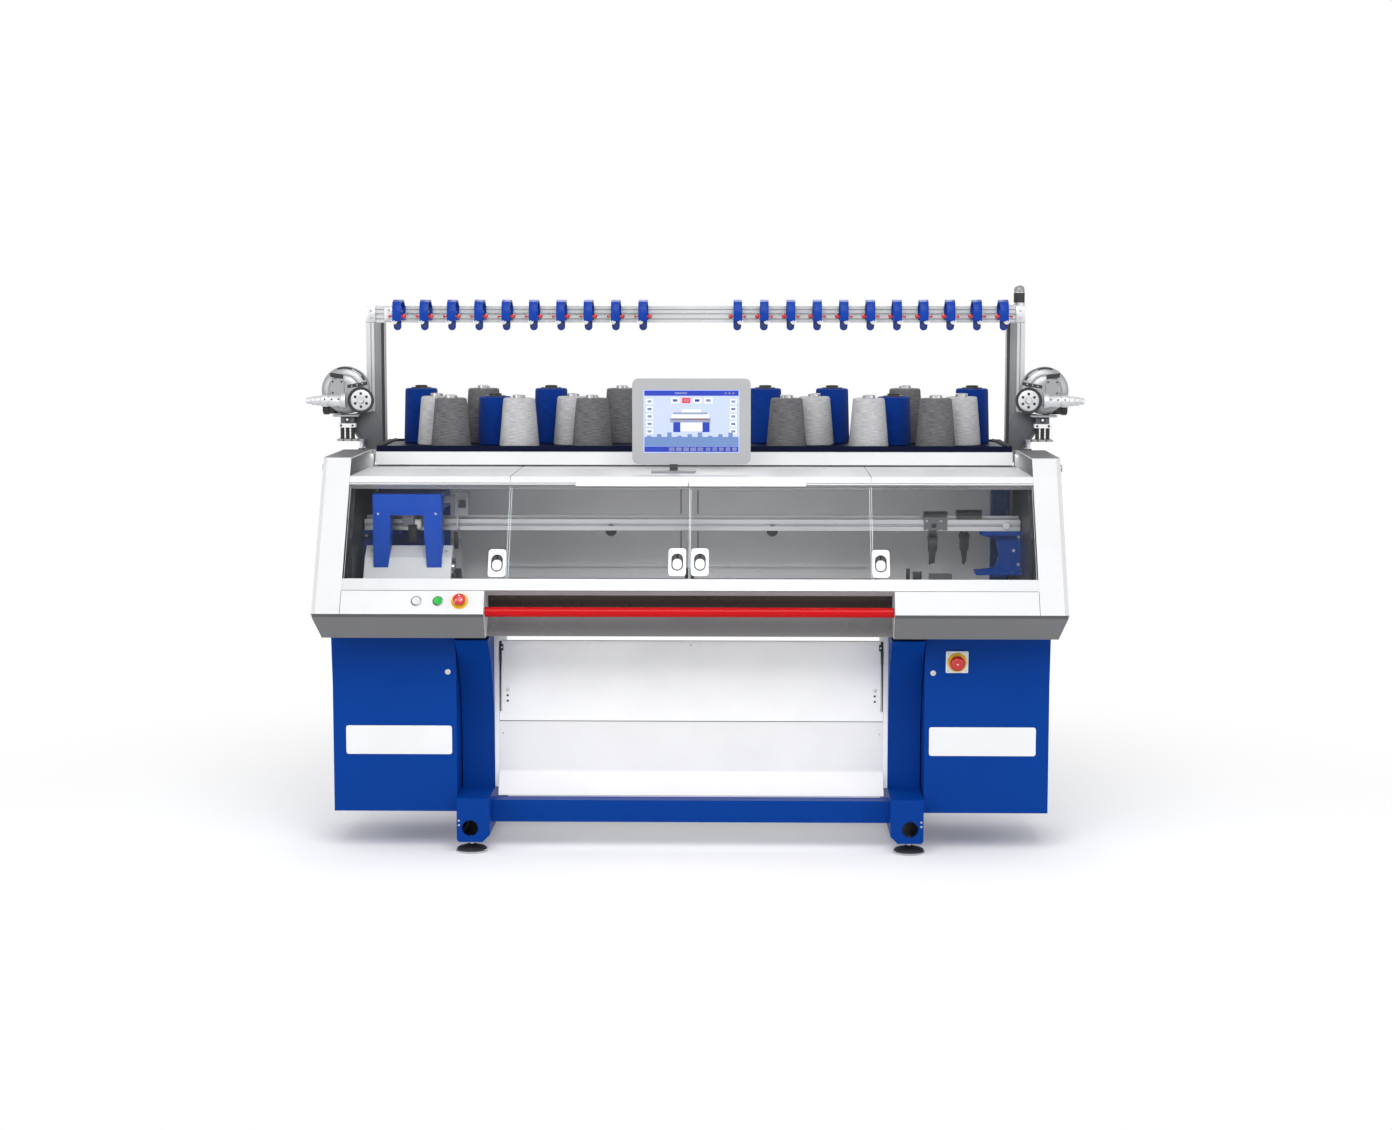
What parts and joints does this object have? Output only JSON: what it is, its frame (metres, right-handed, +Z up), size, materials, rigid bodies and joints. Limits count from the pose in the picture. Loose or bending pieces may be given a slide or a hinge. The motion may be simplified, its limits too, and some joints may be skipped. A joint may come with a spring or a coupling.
{
  "type": "flat knitting machine",
  "caption": "Flat knitting machine with V-beds and travelling carriage behind sliding windows, on blue legs with cabinets, yarn table with cones above.",
  "frame": {"origin": "on the floor below the centre of the machine's bounding box", "axes": "+X to the operator's right, +Y from the operator to the back, +Z up"},
  "size_m": [2.972, 1.2653, 2.028],
  "materials": {
    "blue_paint": "satin blue powder coat",
    "navy_paint": "satin dark blue powder coat",
    "white_paint": "fine-textured white powder coat",
    "grey_paint": "satin grey powder coat",
    "light_grey_paint": "satin light grey powder coat",
    "bed_steel": "ground steel",
    "bed_iron": "machined and painted casting",
    "steel": "turned or ground steel",
    "aluminium": "anodised extrusion",
    "black_plastic": "fine-grained black plastic",
    "black_rubber": "moulded rubber",
    "red_plastic": "glossy red plastic",
    "red_paint": "glossy red paint",
    "green_plastic": "glossy green plastic",
    "white_plastic": "glossy white plastic",
    "screen_plastic": "matt light grey plastic around a dark screen",
    "clear_sheet": "clear acrylic sheet",
    "yarn": "wound yarn"
  },
  "bodies": {
    "frame": {"feet": "blue_paint", "legs": "blue_paint", "leg_pads": "black_rubber", "crossbars": "blue_paint", "levelling_feet": "black_rubber", "cabinets": "blue_paint", "takedown_side_plates": "light_grey_paint", "lower_panel": "white_paint", "bed_supports": "bed_iron", "needle_beds": "bed_steel", "guide_rails": "steel", "end_frames": "blue_paint", "fascia_left": "white_paint", "fascia_right": "white_paint", "recess_tray": "white_paint", "sill": "aluminium", "upper_track": "aluminium", "side_cover_left": "white_paint", "side_cover_right": "white_paint", "roof_panels": "white_paint", "back_panel": "light_grey_paint", "rear_cover": "white_paint", "apron": "white_paint", "yarn_table": "navy_paint", "uprights": "white_paint", "top_beam": "aluminium", "yarn_brakes": "blue_paint", "signal_lamp": "aluminium", "monitor_stand": "grey_paint", "yarn_cones": "yarn", "carrier_rails": "steel", "rail_brackets": "blue_paint", "button_bezels": "steel", "side_feeders": "aluminium"},
    "window_outer_left": {"window_outer_left": "clear_sheet"},
    "window_inner_left": {"window_inner_left": "clear_sheet"},
    "window_inner_right": {"window_inner_right": "clear_sheet"},
    "window_outer_right": {"window_outer_right": "clear_sheet"},
    "carriage": {"cam_boxes": "bed_iron", "cam_covers": "light_grey_paint", "carriage_hood": "blue_paint", "carriage_sensor": "grey_paint"},
    "carrier_a": {"carrier_a": "grey_paint"},
    "carrier_b": {"carrier_b": "grey_paint"},
    "operating_bar": {"operating_bar": "red_paint"},
    "white_button": {"white_button": "white_plastic"},
    "green_button": {"green_button": "green_plastic"},
    "stop_button": {"stop_button": "red_plastic"},
    "door_left": {"cabinet_door_left": "blue_paint"},
    "door_right": {"cabinet_door_right": "blue_paint", "switch_plate": "grey_paint"},
    "switch_knob": {"switch_knob": "red_plastic"},
    "upper_panel": {"upper_panel": "white_paint"},
    "takedown_roller": {"takedown_roller": "black_rubber"},
    "press_roller": {"press_roller": "steel"},
    "latch_left": {"side_latch_left": "steel"},
    "latch_right": {"side_latch_right": "steel"},
    "monitor": {"monitor": "screen_plastic"},
    "feeder_wheel_left": {"feeder_wheel_left": "black_plastic"},
    "feeder_wheel_right": {"feeder_wheel_right": "black_plastic"}
  },
  "joints": [
    {"name": "window_outer_left_slide", "type": "slide", "parent": "frame", "child": "window_outer_left", "axis": [1, 0, 0], "range_m": [0, 0.55]},
    {"name": "window_inner_left_slide", "type": "slide", "parent": "frame", "child": "window_inner_left", "axis": [-1, 0, 0], "range_m": [0, 0.55]},
    {"name": "window_inner_right_slide", "type": "slide", "parent": "frame", "child": "window_inner_right", "axis": [1, 0, 0], "range_m": [0, 0.55]},
    {"name": "window_outer_right_slide", "type": "slide", "parent": "frame", "child": "window_outer_right", "axis": [-1, 0, 0], "range_m": [0, 0.55]},
    {"name": "carriage_slide", "type": "slide", "parent": "frame", "child": "carriage", "axis": [1, 0, 0], "range_m": [0, 2]},
    {"name": "carrier_a_slide", "type": "slide", "parent": "frame", "child": "carrier_a", "axis": [1, 0, 0], "range_m": [-1.9, 0.15]},
    {"name": "carrier_b_slide", "type": "slide", "parent": "frame", "child": "carrier_b", "axis": [1, 0, 0], "range_m": [-2, 0.03]},
    {"name": "operating_bar_turn", "type": "hinge", "parent": "frame", "child": "operating_bar", "pos_m": [0, -0.5783, 0.885], "axis": [1, 0, 0], "range_deg": [-20, 20]},
    {"name": "white_button_push", "type": "slide", "parent": "frame", "child": "white_button", "axis": [0, 0.8554, -0.518], "range_m": [0, 0.004], "stiffness_N_per_m": 800},
    {"name": "green_button_push", "type": "slide", "parent": "frame", "child": "green_button", "axis": [0, 0.8554, -0.518], "range_m": [0, 0.004], "stiffness_N_per_m": 800},
    {"name": "stop_button_push", "type": "slide", "parent": "frame", "child": "stop_button", "axis": [0, 0.8554, -0.518], "range_m": [0, 0.005]},
    {"name": "door_left_hinge", "type": "hinge", "parent": "frame", "child": "door_left", "pos_m": [-1.282, -0.4183, 0.466], "axis": [0, 0, -1], "range_deg": [0, 110]},
    {"name": "door_right_hinge", "type": "hinge", "parent": "frame", "child": "door_right", "pos_m": [1.282, -0.4183, 0.466], "axis": [0, 0, 1], "range_deg": [0, 110]},
    {"name": "switch_knob_push", "type": "slide", "parent": "door_right", "child": "switch_knob", "axis": [0, 0.993, 0.1181], "range_m": [0, 0.005]},
    {"name": "upper_panel_hinge", "type": "hinge", "parent": "frame", "child": "upper_panel", "pos_m": [0, -0.2843, 0.445], "axis": [1, 0, 0], "range_deg": [0, 80]},
    {"name": "takedown_roller_turn", "type": "hinge", "parent": "frame", "child": "takedown_roller", "pos_m": [0, -0.0978, 0.66], "axis": [1, 0, 0], "continuous": true},
    {"name": "press_roller_turn", "type": "hinge", "parent": "frame", "child": "press_roller", "pos_m": [0, -0.1488, 0.66], "axis": [1, 0, 0], "continuous": true},
    {"name": "latch_left_turn", "type": "hinge", "parent": "frame", "child": "latch_left", "pos_m": [-1.325, -0.2033, 1.366], "axis": [1, 0, 0], "range_deg": [0, 90]},
    {"name": "latch_right_turn", "type": "hinge", "parent": "frame", "child": "latch_right", "pos_m": [1.325, -0.2033, 1.366], "axis": [1, 0, 0], "range_deg": [0, 90]},
    {"name": "monitor_tilt", "type": "hinge", "parent": "frame", "child": "monitor", "pos_m": [-0.067, -0.1313, 1.5], "axis": [1, 0, 0], "range_deg": [-15, 10]},
    {"name": "feeder_wheel_left_turn", "type": "hinge", "parent": "frame", "child": "feeder_wheel_left", "pos_m": [-1.27, 0.2464, 1.592], "axis": [0, 1, 0], "continuous": true},
    {"name": "feeder_wheel_right_turn", "type": "hinge", "parent": "frame", "child": "feeder_wheel_right", "pos_m": [1.27, 0.2464, 1.592], "axis": [0, 1, 0], "continuous": true}
  ],
  "couplings": [
    {"joint": "press_roller_turn", "follows": "takedown_roller_turn", "ratio": -1.5}
  ]
}
